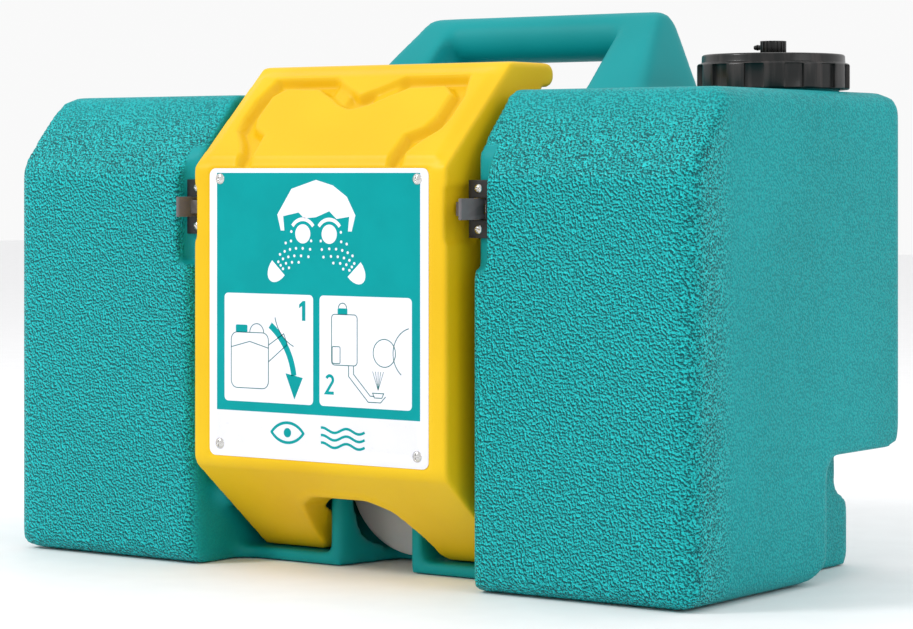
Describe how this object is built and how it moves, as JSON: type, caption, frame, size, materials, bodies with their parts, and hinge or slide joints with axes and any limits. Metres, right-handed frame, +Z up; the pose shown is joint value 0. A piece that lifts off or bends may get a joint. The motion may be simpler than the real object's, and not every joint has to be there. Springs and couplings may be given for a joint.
{
  "type": "eyewash station",
  "caption": "Portable gravity-fed eyewash station: moulded water tank with a drop-down spray tray, fill cap and carry handle.",
  "frame": {"origin": "middle of the tank's base, on the plane it stands on", "axes": "+X to the right as seen from the front, +Y to the back, +Z up"},
  "size_m": [0.56, 0.2925, 0.3805],
  "materials": {
    "tank_plastic": "pebbled",
    "tray_plastic": "satin",
    "smoke_plastic": "smoked",
    "white_plastic": "milky",
    "hose_vinyl": "satin",
    "rubber": "matt",
    "stainless": "bright",
    "black_plastic": "matt",
    "grey_plastic": "satin",
    "head_plastic": "satin",
    "sign_face": "printed"
  },
  "bodies": {
    "tank": {"tank_shell": "tank_plastic", "fill_neck": "tank_plastic", "outlet_washer": "rubber", "outlet_cap": "white_plastic", "outlet_fitting": "white_plastic", "outlet_nut": "white_plastic", "tank_hose_clamp": "stainless", "supply_hose_bend": "hose_vinyl", "hinge_pin_left": "stainless", "hinge_pin_right": "stainless", "latch_base_left": "black_plastic", "latch_base_right": "black_plastic", "latch_pin_left": "stainless", "latch_pin_right": "stainless", "latch_spring_left": "stainless", "latch_spring_right": "stainless", "latch_screws": "stainless", "nozzle_seal_left": "rubber", "nozzle_seal_right": "rubber"},
    "tray": {"tray_shell": "tray_plastic", "hinge_bush_left": "black_plastic", "hinge_bush_right": "black_plastic", "sign_plate": "sign_face", "sign_screws": "stainless", "supply_hose_run": "hose_vinyl", "tray_hose_clamp": "stainless", "hose_clips": "black_plastic", "clip_screws": "stainless", "spray_manifold": "white_plastic", "manifold_saddles": "white_plastic", "saddle_screws": "stainless", "spray_head_left": "head_plastic", "spray_head_right": "head_plastic", "spray_rose_left": "white_plastic", "spray_rose_right": "white_plastic"},
    "cap_seal": {"cap_gasket": "rubber"},
    "cap": {"fill_cap": "smoke_plastic", "vent_body": "smoke_plastic", "vent_seal": "rubber"},
    "vent": {"vent_knob": "smoke_plastic"},
    "latch_left": {"latch_tongue_left": "grey_plastic"},
    "latch_right": {"latch_tongue_right": "grey_plastic"}
  },
  "joints": [
    {"name": "tray_drop", "type": "hinge", "parent": "tank", "child": "tray", "pos_m": [0, -0.1033, 0.0487], "axis": [1, 0, 0], "range_deg": [0, 130], "deforming": ["supply_hose_bend"]},
    {"name": "cap_lift", "type": "slide", "parent": "tank", "child": "cap_seal", "axis": [0, 0, 1], "range_m": [0, 0.06]},
    {"name": "cap_turn", "type": "hinge", "parent": "cap_seal", "child": "cap", "pos_m": [0.217, 0.07, 0.33], "axis": [0, 0, 1], "range_deg": [0, 450]},
    {"name": "vent_turn", "type": "hinge", "parent": "cap", "child": "vent", "pos_m": [0.217, 0.07, 0.35], "axis": [0, 0, 1], "range_deg": [0, 90]},
    {"name": "latch_release_left", "type": "hinge", "parent": "tank", "child": "latch_left", "pos_m": [-0.1174, -0.123, 0.243], "axis": [0, 0, -1], "range_deg": [0, 12], "stiffness_Nm_per_rad": 0.05},
    {"name": "latch_release_right", "type": "hinge", "parent": "tank", "child": "latch_right", "pos_m": [0.1174, -0.123, 0.243], "axis": [0, 0, 1], "range_deg": [0, 12], "stiffness_Nm_per_rad": 0.05}
  ]
}
